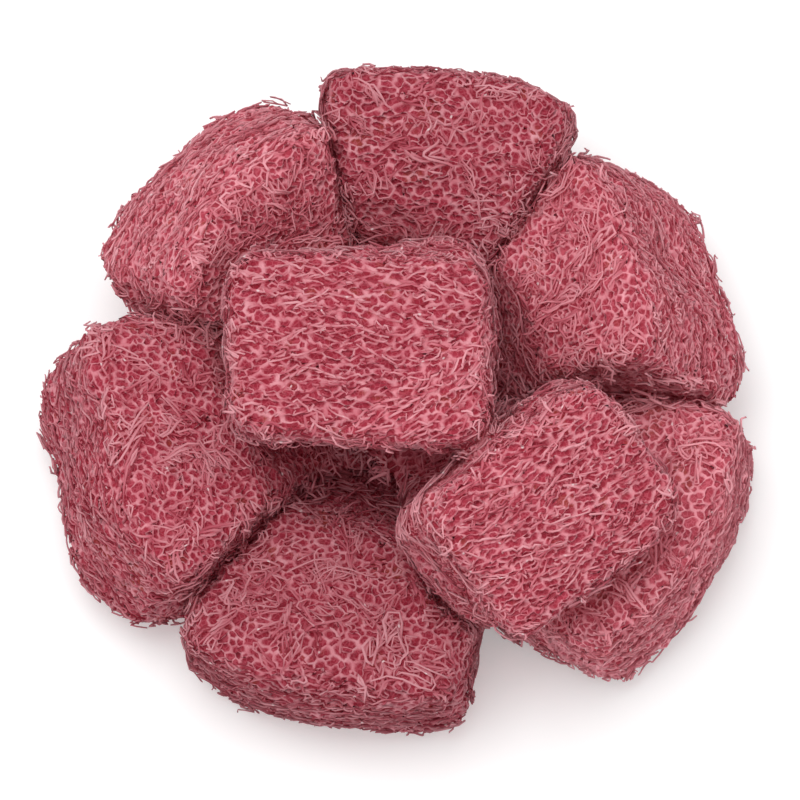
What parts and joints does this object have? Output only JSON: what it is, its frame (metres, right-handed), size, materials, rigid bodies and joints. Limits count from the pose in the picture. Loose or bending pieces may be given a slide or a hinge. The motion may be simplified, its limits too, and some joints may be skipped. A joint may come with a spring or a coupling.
{
  "type": "cross buff pad",
  "caption": "Round abrasive pad of crossed springy web strips pinched by a threaded eyelet, their ends splayed like petals, for spinning on a mandrel to clean bores and edges",
  "frame": {"origin": "on the floor under the middle of the pad's outline, 0.3 mm to the front and left of the eyelet's axis", "axes": "+Z along the eyelet's axis, from the back that screws to the mandrel to the splayed working side; +X to the right and +Y away as the pad is seen in the picture"},
  "size_m": [0.0504, 0.0468, 0.0237],
  "materials": {
    "back_strip": "open crimped fibre web bonded with abrasive, matte, deep red with pale pink fibres",
    "second_strip": "open crimped fibre web bonded with abrasive, matte, deep red with pale pink fibres",
    "third_strip": "open crimped fibre web bonded with abrasive, matte, deep red with pale pink fibres",
    "front_strip": "open crimped fibre web bonded with abrasive, matte, deep red with pale pink fibres",
    "eyelet": "zinc plated, turned",
    "washer": "zinc plated, stamped"
  },
  "bodies": {
    "root": {"back_strip": "back_strip", "second_strip": "second_strip", "third_strip": "third_strip", "front_strip": "front_strip", "eyelet": "eyelet", "washer": "washer"}
  },
  "joints": []
}
